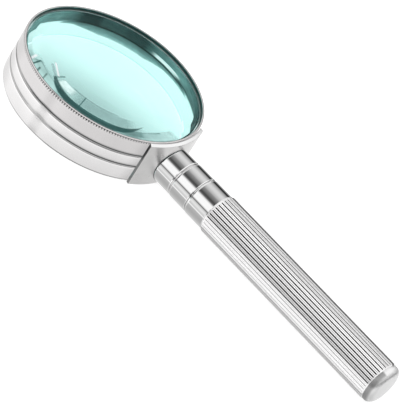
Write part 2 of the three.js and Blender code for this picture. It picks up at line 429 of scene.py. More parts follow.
# ------------------------------------------------------------------ metals
def metal(name, colour, roughness, axis, mark_scale=9000, mark_bump=0.03, mark_depth=2e-6,
          smudge=0.05, variation=0.05, cloud_scale=95, metallic=1.0, painted_shade=None, painted_shade_grey=0.1,
          reflection_tone=None, highlight_colour=None, highlight_where=None, emission=None):
    """Polished or turned metal: tool marks that run round the axis and faint smudges.

    The painted shade, the reflection tone and the highlight's mask are functions of the place;
    they paint shade, a reflection and a highlight into the colour. emission is a function of the
    finished colour that gives the emission's colour and strength; where it is given here it is
    painted light."""
    material = bpy.data.materials.new(name)
    graph = Graph(material)
    at = Polar(graph, axis)
    marks = graph.join(at.radius, 0.0, at.height).noise(mark_scale)
    cloud = at.place.noise(cloud_scale, detail=5.0, roughness=0.62)
    brightest = tuple(min(1.0, c * (1 + variation)) for c in colour)
    colour = marks.times_plus(0.5, cloud).ramp(
        [(0.35, shaded(colour, 1 - variation)), (1.0, brightest)])
    roughness = cloud.band(0.35, 0.75, smooth=False).times_plus(smudge, roughness)
    # painted reflection tone, multiplied into the colour
    if reflection_tone:
        colour = colour.tinted(reflection_tone(at))
    # painted highlight, laid over the colour
    if highlight_where:
        colour = highlight_where(at).mix(colour, highlight_colour)
    # painted shade: a darker grey, and rougher
    if painted_shade:
        shadow_mask = painted_shade(at)
        colour = shadow_mask.mix(colour, (painted_shade_grey,) * 3)
        roughness = shadow_mask.times_plus(0.25, roughness)
    inputs = {"Base Color": colour, "Metallic": metallic, "Roughness": roughness,
              "Normal": graph.bump(marks, mark_bump, mark_depth)}
    # emission, where given, is painted light
    if emission:
        inputs["Emission Color"], inputs["Emission Strength"] = emission(colour)
    graph.node("OutputMaterial", [graph.node("BsdfPrincipled", inputs)])
    return material


def drum_groove_shade(at):
    """Painted shade in the groove, the joint and the bezel's teeth, with its strength set round
    the drum.
    """
    low = at.radius.band(DRUM_R - 0.05, DRUM_R - 0.32, MM)
    low = low * at.radius.band(SPIGOT_R - 0.5, SPIGOT_R - 0.2, MM)
    turn = turns(at.angle)
    round_strength = turn.ramp_degrees([
        (-180, 0.8), (-160, 0.55), (-120, 0.5), (-104, 0.65),
        (-100, 0.95), (0, 1.0), (120, 0.9), (180, 0.8)])
    thin = turn.ramp_degrees([
        (-180, 1.0), (-106, 0.9), (-98, 0.25), (-82, 0.35), (-76, 1.0), (180, 1.0)])
    lower = at.height.band(Z_GROOVE + 1.2, Z_GROOVE + 0.8, MM)
    low = (low * round_strength) * lower.mix((1.0, 1.0, 1.0), thin)
    return low * at.height.band(Z_FRONT - 0.16, Z_FRONT - 0.30, MM)


def neck_groove_shade(at):
    """Painted shade in the groove by the washer and along the foot of the boss on its lower, -y
    side.
    """
    groove = at.radius.band(6.98, 6.85, MM) * at.height.band(59, 58, MM)
    from_drum = hypotenuse(at.x, at.y)
    foot = (from_drum.band(SADDLE_OUT + 0.26, SADDLE_OUT + 0.17, MM)
            * (at.z + at.y).band(AXIS_Z + 2.0, AXIS_Z - 4.0, MM))
    return groove.max(foot)


def saddle_edge_shade(at):
    """Painted shade at the plate's ends, round the foot of the boss on its -y side and on the
    inner face.
    """
    ends = abs(at.angle).band(SADDLE_ANGLE - 0.35, SADDLE_ANGLE - 0.1, DEG)
    from_handle = hypotenuse(at.y, at.z - AXIS_Z * MM)
    foot = (from_handle.band(BOSS_R + 0.3, BOSS_R, MM) * 0.45) * at.y.band(4.0, -1.0, MM)
    inner = at.radius.band(SADDLE_IN + 0.35, SADDLE_IN + 0.1, MM)
    return (ends * 0.75).max(foot).max(inner * 0.6)


def saddle_lip_highlight(at):
    """Painted highlight: 1 on the front lip of the saddle plate."""
    return at.height.band(Z_FRONT - 0.70, Z_FRONT - 0.56, MM)


def round_handle(at):
    """Turns about the handle, 0 to 1, from 55 degrees above +y, over the top and down -y."""
    return at.angle.times_plus(1 / TAU, 1 - 55 / 360).math("FRACT")


def cap_highlight(at):
    """Painted highlight: 1 on the upper strip of the end cap and towards its tip."""
    top = round_handle(at).band(0.19, 0.17) * at.height.band(146.0, 145.4, MM)
    return top.max(at.radius.band(CAP_R - 0.1, CAP_R - 0.9, MM))


def grip_flute_shade(at):
    """Painted shade in the flutes: one layer for deep flutes, one for the fine lines, with its
    strength set round the grip.
    """
    deep = at.radius.band(GRIP_R - 0.05, GRIP_R - 0.13, MM)
    fine = at.radius.band(GRIP_R - 0.04, GRIP_R - 0.09, MM)
    turn = round_handle(at)
    deep_amount = turn.ramp([
        (0.0, 0.45), (0.03, 0.5), (0.075, 0.6), (0.135, 0.65), (0.158, 0.7), (0.163, 1.0),
        (0.31, 1.0), (0.33, 0.45), (0.40, 0.35), (0.5, 0.55), (0.6, 0.9), (0.9, 0.9), (1.0, 0.3)])
    fine_amount = turn.ramp([
        (0.0, 0.3), (0.03, 0.5), (0.075, 0.75), (0.09, 0.8), (0.155, 0.8), (0.17, 0.25),
        (0.31, 0.35), (0.33, 0.12), (0.5, 0.1), (0.6, 0.3), (0.9, 0.3), (1.0, 0.1)])
    shadow_mask = (deep * deep_amount).max(fine * fine_amount)
    return shadow_mask * at.height.window(
        GRIP_START + 0.35, GRIP_START + 0.8, GRIP_END - 0.6, GRIP_END - 0.25, MM)


def grip_reflection_tone(at):
    """Painted reflection: brightness of the ribs round the grip, fixed to the angle about the
    handle.
    """
    return round_handle(at).ramp([
        (0.0, 1.0), (0.038, 0.95), (0.045, 0.08), (0.065, 0.10), (0.076, 0.86), (0.150, 0.86),
        (0.160, 1.0), (0.174, 1.0), (0.188, 1.08), (0.205, 0.95), (0.255, 0.88), (0.285, 0.72),
        (0.312, 0.66), (0.322, 1.0), (0.39, 1.05), (0.408, 0.9), (0.425, 0.55), (0.455, 0.6),
        (0.48, 0.85), (0.6, 0.9), (0.72, 0.75), (0.85, 0.92), (1.0, 1.0)])


# Painted light: the grip glows faintly in its own colour.
def grip_painted_glow(colour):
    return colour, 0.13


def painted_glow_through_glass(colour):
    """Painted light: a pale glow seen only through the glass, standing in for the floor's light
    carried back up through the lens.
    """
    transmitted = colour.graph.node("LightPath", output="Is Transmission Ray")
    return (0.9, 1.0, 0.99), transmitted * 0.72


# ------------------------------------------------------------------ glass
# Direction from the part towards the camera, and the same direction laid on the floor
VIEW_X, VIEW_Y, VIEW_Z = 0.3287, -0.7768, 0.5373
FLAT_VIEW_X, FLAT_VIEW_Y = 0.389, -0.921

GLASS_IOR = 1.52
GLASS_TINT = (0.915, 1.0, 0.993)
# painted light: the glass glows in this colour where rays have bounced many times inside it
DEEP_GLASS_GLOW = (0.05, 0.13, 0.125)    # light after many internal bounces
COATING = 0.25                      # least share of the reflecting glass

# Circles that bound the painted dark crescent on the front lens: centre x, y and radius (mm)
CRESCENT_IN = (5.4, -10.2, 19.5)
CRESCENT_OUT = (7.3, -15.2, 18.2)

# Strokes of painted reflection, light and dark, on the front lens: two ends (degrees, radius mm),
# width mm, colour, cover
STROKES = [
    ((-73.9, 23.6), (-72.6, 30.8), 0.38, (0.03, 0.10, 0.095), 0.85),
    ((-100.3, 23.4), (-100.8, 27.2), 0.6, (0.06, 0.15, 0.14), 0.75),
    ((-118, 24.0), (-101.5, 26.2), 0.75, (0.9, 0.95, 0.97), 0.9),
    ((-116, 25.6), (-102, 27.4), 0.8, (0.25, 0.36, 0.38), 0.5),
    ((-122, 30.8), (-117.5, 33.8), 0.9, (0.9, 0.95, 0.97), 0.9),
    ((-117, 29.8), (-112.5, 34.6), 0.6, (0.06, 0.14, 0.13), 0.85),
    ((-122, 34.3), (-116.5, 34.2), 0.9, (0.02, 0.05, 0.05), 0.95),
    ((-110, 31.8), (-106, 34.6), 0.6, (0.10, 0.18, 0.17), 0.8),
    ((-104.5, 30.4), (-99.5, 34.6), 0.5, (0.20, 0.32, 0.30), 0.7),
]


def stroke(at, start, end, width):
    """Soft line on the lens face between two points given as (degrees, radius)."""
    (start_x, start_y), (end_x, end_y) = [
        (MM * radius * math.cos(math.radians(degrees)),
         MM * radius * math.sin(math.radians(degrees))) for degrees, radius in (start, end)]
    dx, dy = end_x - start_x, end_y - start_y
    length = math.hypot(dx, dy)
    x, y = at.x - start_x, at.y - start_y
    along = x * (dx / length ** 2) + y * (dy / length ** 2)
    aside = abs(x * (dy / length) - y * (dx / length))
    return aside.band(width, 0.25 * width, MM) * (along.band(-0.10, 0.12) * along.band(1.08, 0.94))


def disc(at, centre_x, centre_y, radius, soft=0.35):
    """1 inside a circle on the lens face, 0 outside."""
    distance = hypotenuse(at.x - centre_x * MM, at.y - centre_y * MM)
    return distance.band(radius + soft, radius - soft, MM)


def painted_rim_reflections(graph, place):
    """Painted reflections and shade over the -y part of the front lens, in place of the drum's
    inside: colour, cover.
    """
    at = Polar(graph, "z", place)
    inner, outer = disc(at, *CRESCENT_IN), disc(at, *CRESCENT_OUT)

    def arc(*degrees):
        return at.angle.window(*degrees, DEG)

    def ring(*radii):
        return at.radius.window(*radii, MM)

    def beyond(start, full):
        return at.radius.band(start, full, MM)

    # mask, colour, cover; later layers lie over earlier ones
    layers = [
        ((1.0 - outer) * (arc(-64, -50, -34, -20) * beyond(27.5, 29)), (0.20, 0.34, 0.33), 0.8),
        (arc(-34, -22, -4, 2) * beyond(28.6, 30.6), (0.46, 0.70, 0.68), 0.85),
        (arc(-44, -34, -8, 2) * beyond(33.2, 33.9), (0.10, 0.20, 0.195), 0.8),
        ((1.0 - outer) * (arc(-128, -112, -90, -84) * beyond(28.5, 30.5)),
         (0.50, 0.76, 0.73), 0.85),
        (arc(-99, -95, -86, -78) * ring(24.2, 24.9, 28, 29.5), (0.78, 0.98, 0.96), 0.8),
        (arc(-84, -72, -40, -26) * ring(24.2, 25.0, 29.5, 31), (0.24, 0.39, 0.38), 0.66),
        ((1.0 - inner) * (outer * arc(-104, -101, -24, -20)), (0.040, 0.100, 0.096), 0.91),
        (arc(-90, -84, -48, -40) * ring(23.6, 23.9, 24.3, 24.7), (0.15, 0.25, 0.24), 0.55),
    ]
    for start, end, width, tone, strength in STROKES:
        layers.append((stroke(at, start, end, width), tone, strength))
    (mask, colour, strength), *others = layers
    cover = mask * strength
    for mask, tone, strength in others:
        colour = mask.mix(colour, tone)
        cover = cover.max(mask * strength)
    colour = colour.tinted(place.noise(260, 4.0).ramp([(0.3, 0.85), (0.7, 1.15)]))

    # the painted reflections show only on the flat front face, and only towards the camera
    x, y, z = graph.node("NewGeometry", output="Incoming").split()
    facing = x * VIEW_X + y * VIEW_Y + z * VIEW_Z
    camera_ray = graph.node("LightPath", output="Is Camera Ray")
    gate = facing.band(0.93, 0.98) * (camera_ray * at.z.band(Z_LENS - 0.4, Z_LENS - 0.3, MM))
    return colour, cover * gate


def glass(name, edge_radius, edge_kind, edge_colour, reflections=False):
    """Tinted, coated glass with a ground edge; it casts a clear, tinted shadow."""
    material = bpy.data.materials.new(name)
    graph = Graph(material)
    at = Polar(graph, "z")
    colour = at.place.noise(60, 4.0).ramp([(0.3, shaded(GLASS_TINT, 0.99)), (0.7, GLASS_TINT)])
    optics = {"IOR": GLASS_IOR, "Color": colour}
    fresnel = graph.node("Fresnel", {"IOR": GLASS_IOR})
    surface = graph.mix_shader(fresnel.band(0.45, 0.7).max(COATING),
                               graph.node("BsdfRefraction", optics),
                               graph.node("BsdfGlass", optics))
    # painted light: rays deep inside the glass end in this fixed glow
    deep_glow = at.place.noise(45, 2.0).ramp(
        [(0.35, shaded(DEEP_GLASS_GLOW, 0.8)), (0.65, shaded(DEEP_GLASS_GLOW, 1.2))])
    path = graph.node("LightPath")
    surface = graph.mix_shader(path.output("Ray Depth").math("GREATER_THAN", 5.5),
                               surface, graph.node("Emission", {"Color": deep_glow}))
    # ground edge; where its kind is Emission it glows, painted light
    surface = graph.mix_shader(at.radius.band(edge_radius - 0.10, edge_radius - 0.04, MM),
                               surface, graph.node(edge_kind, {"Color": edge_colour}))
    # painted reflections and shade on the front face
    if reflections:
        tone, cover = painted_rim_reflections(graph, at.place)
        surface = graph.mix_shader(cover, surface, graph.node("Emission", {"Color": tone}))
    surface = graph.mix_shader(path.output("Is Shadow Ray"), surface,
                               graph.node("BsdfTransparent", {"Color": GLASS_TINT}))
    graph.node("OutputMaterial", [surface])
    return material


# ------------------------------------------------------------------ inside of the drum
# Degrees round the drum, brightness of the dark upper part, a painted reflection
UPPER_REFLECTION_TONES = [
    (-180, 0.50), (-170, 0.50), (-150, 0.40), (-60, 0.12), (30, 0.05), (40, 0.07), (46, 0.14),
    (56, 0.24), (68, 0.32), (80, 0.50), (92, 0.38), (104, 0.21), (109, 0.085), (120, 0.08),
    (125, 0.115), (139, 0.125), (142, 0.045), (153, 0.05), (159, 0.24), (170, 0.44), (180, 0.46)]
# Degrees round the drum, foot of the painted shading step in cm
STEP_FOOT = [
    (-180, 0.86), (-174, 0.9), (-150, 0.92), (-60, 0.85), (30, 0.92), (44, 0.9), (60, 0.85),
    (80, 0.80), (92, 0.76), (100, 0.66), (107, 0.56), (138, 0.54), (148, 0.64), (156, 0.76),
    (166, 0.80), (180, 0.84)]
# Degrees round the drum, strength of the dark joint line
JOINT_LINE = [
    (-180, 0.0), (58, 0.0), (68, 0.5), (78, 0.85), (148, 0.85), (154, 0.2), (158, 0.0),
    (180, 0.0)]
# Place up the painted shading step (0 foot, 1 top), colour; painted shade, light at the foot and
# dark at the top
STEP_SHADE_TONES = [
    (0.0, (0.70, 0.90, 0.89)), (0.06, (0.56, 0.79, 0.78)), (0.30, (0.40, 0.61, 0.60)),
    (0.55, (0.29, 0.45, 0.44)), (0.8, (0.20, 0.33, 0.325)), (1.0, (0.09, 0.18, 0.175))]
STEP_TOP = 9.3  # mm


def teal(value):
    return max(0.004, 0.62 * value - 0.02), value, 0.97 * value


def wall_material(name):
    """Dark above a joint line, with painted reflections that change round the drum; a step of
    painted shade below it, then polished, with a painted glint that glows.
    """
    material = bpy.data.materials.new(name)
    graph = Graph(material)
    at = Polar(graph, "z")
    turn = turns(at.angle)
    upper_reflection = turn.ramp_degrees([(degrees, teal(value)) for degrees, value in UPPER_REFLECTION_TONES])
    foot = turn.ramp_degrees(STEP_FOOT) * (10 * MM)
    line = turn.ramp_degrees(JOINT_LINE)
    fine = graph.join(at.radius, at.angle * 0.004, at.height).noise(900, 4.0)
    broad = graph.join(0.0, at.angle * 0.02, at.height * 0.5).noise(420, 3.0)
    streak = fine.ramp([(0.3, 0.8), (0.7, 1.2)]).tinted(broad.ramp([(0.3, 0.8), (0.7, 1.15)]))
    rise = (at.height - foot) / (STEP_TOP * MM - foot)
    step = rise.ramp(STEP_SHADE_TONES).tinted(streak)
    # painted glint: a white spot on the wall that also glows
    glint = at.angle.window(77, 84, 98, 105, DEG) * at.height.window(9.8, 10.2, 10.9, 11.5, MM)
    above_foot = rise.band(-0.16, 0.08)
    seam = line * at.height.window(8.8, 9.15, 9.6, 10.0, MM)
    # polished below the step's foot, painted shade up the step
    colour = above_foot.mix((0.93, 0.97, 0.97), step)
    # painted reflections on the dark upper part
    colour = at.height.band(8.7, 9.7, MM).mix(colour, upper_reflection.tinted(streak))
    colour = seam.mix(colour, (0.004, 0.02, 0.019))
    colour = glint.mix(colour, (1.0, 1.0, 1.0))
    surface = graph.node("BsdfPrincipled", {
        "Base Color": colour,
        "Metallic": above_foot.mix((1, 1, 1), (0.0, 0.0, 0.0)),
        "Roughness": above_foot.times_plus(0.35, 0.10),
        "Specular IOR Level": 0.04,
        "Emission Color": (0.85, 1.0, 0.98),
        "Emission Strength": glint * 0.42,
        "Normal": graph.bump(fine, strength=0.15, distance=4e-6),
    })
    graph.node("OutputMaterial", [surface])
    return material


# ------------------------------------------------------------------ the materials
POLISH = {"axis": "z", "mark_scale": 7000, "mark_bump": 0.05, "smudge": 0.06}
DRUM_GREY, NECK_GREY = 0.79, 0.86

drum_polish = metal("drum_polish", (0.80, DRUM_GREY, DRUM_GREY), 0.11, **POLISH,
                    painted_shade=drum_groove_shade, painted_shade_grey=0.13)
bezel_polish = metal("bezel_polish", (0.69, 0.675, 0.675), 0.12, **POLISH,
                     painted_shade=drum_groove_shade, painted_shade_grey=0.10)
rim_polish = metal("rim_polish", (0.84, 0.83, 0.83), 0.16, **POLISH, variation=0.04)
saddle_satin = metal("saddle_satin", (0.72, 0.715, 0.71), 0.26, axis="z", mark_scale=2500,
                     mark_bump=0.12, mark_depth=4e-6, smudge=0.08, variation=0.09,
                     cloud_scale=140, painted_shade=saddle_edge_shade, painted_shade_grey=0.09,
                     highlight_colour=(0.88, 0.88, 0.88), highlight_where=saddle_lip_highlight)
neck_mirror = metal("neck_mirror", (NECK_GREY,) * 3, 0.045, axis="x", variation=0.03,
                    painted_shade=neck_groove_shade, painted_shade_grey=0.05)
cap_satin = metal("cap_satin", (0.36, 0.36, 0.36), 0.34, axis="x", mark_bump=0.05,
                  smudge=0.08, variation=0.06, highlight_colour=(0.90, 0.90, 0.90),
                  highlight_where=cap_highlight)
grip_bright = metal("grip_bright", (1.0, 0.985, 0.99), 0.14, axis="x", mark_scale=5000,
                    mark_bump=0.02, variation=0.02, metallic=0.10, painted_shade=grip_flute_shade,
                    painted_shade_grey=0.0, reflection_tone=grip_reflection_tone, emission=grip_painted_glow)
turned_steel = metal("turned_steel", (0.50, 0.51, 0.52), 0.28, axis="x", mark_scale=6000,
                     mark_bump=0.3, mark_depth=8e-6, smudge=0.12, variation=0.12)
inner_wall = wall_material("inner_wall")
# the back lens's ground edge glows pale teal: painted light
back_glass = glass("lens_glass", BACK_LENS_R, "Emission", (0.70, 0.94, 0.93))
front_glass = glass("front_lens_glass", FRONT_LENS_R, "BsdfDiffuse", (0.03, 0.09, 0.085),
                    reflections=True)
# painted light: the ring glows where it is seen through the glass
back_ring_satin = metal("back_ring_satin", (0.93, 0.94, 0.94), 0.25, axis="z", mark_bump=0.04,
                        smudge=0.06, variation=0.04, metallic=0.25,
                        emission=painted_glow_through_glass)

# ------------------------------------------------------------------ drum
TEETH = 216
BEZEL_COUNT = TEETH * 8


def bezel():
    """Front ring: a lip round the opening, a threaded bore and a toothed outer edge."""
    lip = [  # radius, z
        (RIM_IN + 0.10, Z_FRONT), (RIM_IN + 0.03, Z_FRONT - 0.03), (RIM_IN, Z_FRONT - 0.10),
        (RIM_IN, Z_FRONT - 0.34), (BORE_R, Z_FRONT - 0.35), (BORE_R, SPIGOT_TOP)]
    foot = [  # inset from the drum's radius, height above the joint
        (0.44, 0.10), (0.34, 0.14), (0.20, 0.26), (0.08, 0.46), (0.015, 0.70), (0, 0.95)]
    edge = [  # inset from the drum's radius, depth below the front, tooth depth
        (0, 2.0, 0), (0, 1.62, 0), (0, 1.20, 0), (0, 1.08, 0.08), (0, 0.96, 0.34),
        (0.01, 0.76, 0.42), (0.03, 0.52, 0.42), (0.07, 0.36, 0.32), (0.12, 0.24, 0.12),
        (0.17, 0.15, 0), (0.25, 0.07, 0), (0.35, 0.02, 0), (0.46, 0, 0)]
    rows = []

    def add(radius, z, tooth=0.0):
        def radius_at(angle):
            return radius - tooth * max(0.0, 1 - triangle(angle / TAU * TEETH) / 0.55)
        rows.append(ring_z(z, radius_at, BEZEL_COUNT))

    for radius, z in lip:
        add(radius, z)
    thread_top, thread_bottom = SPIGOT_TOP - 0.2, Z_JOINT + 0.12
    pitch, depth, steps = 0.75, 0.12, 30
    for i in range(steps + 1):
        z = thread_top - (thread_top - thread_bottom) * i / steps
        cut = depth * (1.0 if 0 < i < steps else 0.3)
        rows.append(ring_z(z, lambda angle: BORE_R - cut * triangle(
            (z - Z_JOINT) / pitch - angle / TAU), BEZEL_COUNT))
    add(BORE_R, Z_JOINT + 0.10)
    for inset, height in foot:
        add(DRUM_R - inset, Z_JOINT + height)
    for inset, below, tooth in edge:
        add(DRUM_R - inset, Z_FRONT - below, tooth)
    ob = rings("bezel_ring", rows)
    weight_normals(ob)
    tidy(ob, sharp=28)
    ob.visible_glossy = False
    return ob


def crowned(z0, z1, rise=0.03, steps=9):
    """Points up a band of the drum's wall that swells by rise in the middle."""
    return [(DRUM_R - rise * (2 * i / steps - 1) ** 2, z0 + (z1 - z0) * i / steps)
            for i in range(steps + 1)]


def barrel():
    """Drum body with a groove round it and a spigot at the front."""
    ob = turned("barrel_ring", [
        (SEAT_R, Z_BACK + 0.3, 0.05), (SEAT_R + 0.3, Z_BACK, 0.05),
        (DRUM_R - 0.55, Z_BACK, 0.3), (DRUM_R - 0.05, Z_BACK + 0.75, 0.4),
        *crowned(Z_BACK + 1.4, Z_GROOVE - 0.75),
        (DRUM_R - 0.12, Z_GROOVE - 0.36, 0.3), (DRUM_R - 0.46, Z_GROOVE - 0.16, 0.12),
        (DRUM_R - 0.46, Z_GROOVE + 0.16, 0.12), (DRUM_R - 0.12, Z_GROOVE + 0.36, 0.3),
        *crowned(Z_GROOVE + 0.75, Z_JOINT - 0.9),
        (DRUM_R - 0.14, Z_JOINT - 0.42, 0.35), (DRUM_R - 0.5, Z_JOINT - 0.10, 0.12),
        (SPIGOT_R - 0.06, Z_JOINT - 0.10, 0.05),
        (SPIGOT_R - 0.06, SPIGOT_TOP, 0.1), (SEAT_R, SPIGOT_TOP, 0.1),
    ], "z", 384)
    ob.visible_glossy = False
    return ob


def spacer():
    """Tube between the lenses, with a shallow groove inside."""
    bottom, top, outside = LENS_EDGE + 0.065, Z_LENS - LENS_EDGE - 0.3, 33.45
    groove = SPACER_R + 0.07
    return turned("spacer_ring", [
        (SPACER_R, bottom, 0.01), (outside, bottom, 0.03), (outside, top, 0.05),
        (SPACER_R, top, 0.05), (SPACER_R, 9.5), (groove, 9.3), (groove, 8.9),
        (SPACER_R, 8.7), (SPACER_R, 6.6), (SPACER_R + 0.05, 6.3),
    ], "z", 288)


def back_ring():
    """Ring behind the back lens, with notches inside and a thread outside."""
    count, notches, outside = 720, 90, 33.50
    pitch, depth, steps = 0.5, 0.10, 8
    start, end = 0.28, 0.98     # thread, above the back
    rows = []

    def add(radius, height, cut=0.0):
        rows.append(ring_z(Z_BACK + height, lambda angle: radius + cut * (
            1 - triangle(angle / TAU * notches)), count))

    for station in [  # radius, height above the back, notch depth
            (33.10, 0.24), (33.10, 0.22, 0.10), (33.18, 0.12, 0.14), (33.28, 0.10),
            (33.42, 0.10), (outside, 0.18), (outside, 0.26)]:
        add(*station)
    for i in range(steps + 1):
        z = Z_BACK + start + (end - start) * i / steps
        rows.append(ring_z(z, lambda angle: outside - depth * triangle(
            -z / pitch - angle / TAU), count))
    for radius, height in ((33.46, 1.08), (33.22, 1.09), (33.12, 1.0)):
        add(radius, height)
    ob = rings("back_ring_visual", rows[::-1], sharp=28, flip=True)
    weight_normals(ob)
    return ob


def dome(radius, z, rise, direction, steps=48):
    """Spherical cap from its edge at z to the axis, bulging in the z direction given."""
    sphere = (radius ** 2 + rise ** 2) / (2 * rise)
    full = math.asin(radius / sphere)
    points = []
    for i in range(1, steps + 1):
        angle = full * (1 - i / steps)
        points.append((0.0 if i == steps else sphere * math.sin(angle),
                       z + direction * (rise - sphere * (1 - math.cos(angle)))))
    return points


def front_lens():
    """Flat in front, stepped and domed behind."""
    edge_back = Z_LENS - LENS_EDGE
    return turned("front_glass", [
        (0, Z_LENS), (FRONT_LENS_R, Z_LENS, 0.1), (FRONT_LENS_R, edge_back, 0.1),
        (STEP_R, edge_back, 0.2), (DOME_R, edge_back - STEP_DEPTH, 0.25),
        *dome(DOME_R, edge_back - STEP_DEPTH, DOME_RISE, -1),
    ], "z", 288)


def back_lens():
    """Flat behind, domed towards the front."""
    return turned("back_glass", [
        (0, 0), (BACK_LENS_R - 0.2, 0, 0.03), (BACK_LENS_R, 0.2, 0.03),
        (BACK_LENS_R, LENS_EDGE, 0.03), *dome(BACK_LENS_R, LENS_EDGE, BACK_RISE, 1),
    ], "z", 288)


install(bezel(), "front_bezel", bezel_polish, "front_bezel_ring")
install(barrel(), "head", drum_polish, "drum_barrel")
install(spacer(), "head", inner_wall, "lens_spacer_ring")
install(back_ring(), "back_ring", back_ring_satin, "back_retaining_ring")
install(front_lens(), "front_lens", front_glass, "front_lens")
install(back_lens(), "back_lens", back_glass, "back_lens")


# ------------------------------------------------------------------ saddle plate
def saddle():
    """Curved plate swept round the drum, with rounded edges; its outer front edge is lower."""
    count, steps = 96, 4
    outer, inner, fall = 0.20, 0.08, 0.50   # edge radii, drop of the outer front edge
    half_sweep = math.radians(SADDLE_ANGLE)
    mid_r, mid_z = (SADDLE_IN + SADDLE_OUT) / 2, (Z_BACK + Z_FRONT) / 2
    arcs = [  # centre radius, centre z, arc radius, start in degrees
        (SADDLE_OUT - outer, Z_BACK + outer, outer, -90),
        (SADDLE_OUT - outer, Z_FRONT - fall - outer, outer, 0),
        (SADDLE_IN + inner, Z_FRONT - inner, inner, 90),
        (SADDLE_IN + inner, Z_BACK + inner, inner, 180)]
    section = []
    for centre_r, centre_z, radius, start in arcs:
        for i in range(steps + 1):
            angle = math.radians(start + 90 * i / steps)
            section.append((centre_r + radius * math.cos(angle),
                            centre_z + radius * math.sin(angle)))

    # stations round the drum: angle, inset of the section
    sweep = outer / SADDLE_OUT
    quarter = [math.radians(90 * i / steps) for i in range(steps + 1)]
    ends = [(-half_sweep + sweep * (1 - math.cos(q)), outer * (1 - math.sin(q)))
            for q in quarter]
    middle = [(-half_sweep + sweep + (2 * half_sweep - 2 * sweep) * i / count, 0.0)
              for i in range(1, count)]
    rows = []
    for angle, inset in ends + middle + [(-a, i) for a, i in ends[::-1]]:
        row = []
        for r, z in section:
            r = r - inset if r > mid_r else r + min(inset, 0.1)
            z = z - inset if z > mid_z else z + inset
            row.append((r * math.cos(angle), r * math.sin(angle), z))
        rows.append(row)
    ob = rings("saddle_visual", rows, capped=True)
    tidy(ob, sharp=35)
    weight_normals(ob)
    ob.visible_glossy = False
    return ob


install(saddle(), "head", saddle_satin, "saddle_plate")


# ------------------------------------------------------------------ neck
def boss():
    """Short tube whose foot follows the curve of the saddle plate."""
    count = 180
    foot = [  # radius, distance outside the saddle's surface
        (STUD_HOLE_R, 0.21), (6.6, 0.21), (6.7, 0.10), (7.12, 0.10), (7.15, 0.12), (7.17, 0.18),
        (7.21, 0.24), (7.26, 0.29), (7.29, 0.36), (BOSS_R, 0.45), (BOSS_R, 0.7)]
    end = [  # radius, distance before the end
        (BOSS_R, 0.45), (BOSS_R, 0.32), (BOSS_R - 0.02, 0.23), (BOSS_R - 0.07, 0.13),
        (BOSS_R - 0.15, 0.05), (BOSS_R - 0.24, 0.01), (BOSS_R - 0.36, 0), (3.4, 0),
        (STUD_HOLE_R, 0.15)]
    rows = []
    for radius, gap in foot:
        rows.append(ring_x(lambda angle: gap + math.sqrt(
            SADDLE_OUT ** 2 - (radius * math.cos(angle)) ** 2), radius, count))
    for radius, before in end:
        rows.append(ring_x(BOSS_END - before, radius, count))
    ob = rings("boss_visual", rows)
    weight_normals(ob)
    tidy(ob, sharp=50)
    return ob


def neck_washer():
    inside, outside = 3.3, COLLAR_R - 0.36
    start, end = BOSS_END + 0.04, BOSS_END + 0.60
    return turned("washer_visual", [
        (inside, start, 0.05), (outside, start, 0.1), (outside, end, 0.1), (inside, end, 0.05),
    ], "x", 144)


def collar():
    """Collar with a blind hole at the drum's end."""
    start = BOSS_END + 0.65
    return turned("collar_visual", [
        (STUD_HOLE_R, start, 0.1), (COLLAR_R - 0.38, start, 0.08),
        (COLLAR_R, BOSS_END + 0.98, 0.34), (COLLAR_R, COLLAR_END - 0.20, 0.2),
        (COLLAR_R - 0.20, COLLAR_END, 0.06), (ROD_HOLE_R, COLLAR_END, 0.1),
        (ROD_HOLE_R, 49.8, 0.05), (0, 49.0), (0, 48.9), (STUD_HOLE_R, 48.3, 0.05),
    ], "x", 192)


def ferrule():
    """Ring before the grip, with a spigot that enters it."""
    start, end, spigot_end = COLLAR_END + 0.06, GRIP_START - 0.05, GRIP_START + 5
    return turned("ferrule_visual", [
        (ROD_HOLE_R, start, 0.1), (FERRULE_R - 0.5, start, 0.08),
        (FERRULE_R, COLLAR_END + 0.78, 0.6), (FERRULE_R, end, 0.2), (6.2, end, 0.05),
        (6.2, spigot_end, 0.2), (ROD_HOLE_R, spigot_end, 0.1),
    ], "x", 192)


install(boss(), "head", neck_mirror, "handle_boss")
install(neck_washer(), "neck_washer", rim_polish, "neck_washer")
install(collar(), "handle", neck_mirror, "neck_collar")
install(ferrule(), "handle", neck_mirror, "grip_ferrule")

# ------------------------------------------------------------------ grip
FLUTES = 36
GRIP_COUNT = FLUTES * 32


def flute(angle):
    """Radius of the wide ribs, each with a shallow middle line, parted by V grooves."""
    t = (angle / TAU * FLUTES - 0.26) % 1.0
    swell = 0.05 * (2 * abs(abs(t - 0.5) - 0.31) / 0.3) ** 2
    groove = 0.43 * max(0.0, 1 - abs(t - 0.5) / 0.18) ** 0.9
    line = 0.13 * max(0.0, 1 - min(t, 1 - t) / 0.07)
    return GRIP_R - min(swell, 0.05) - groove - line


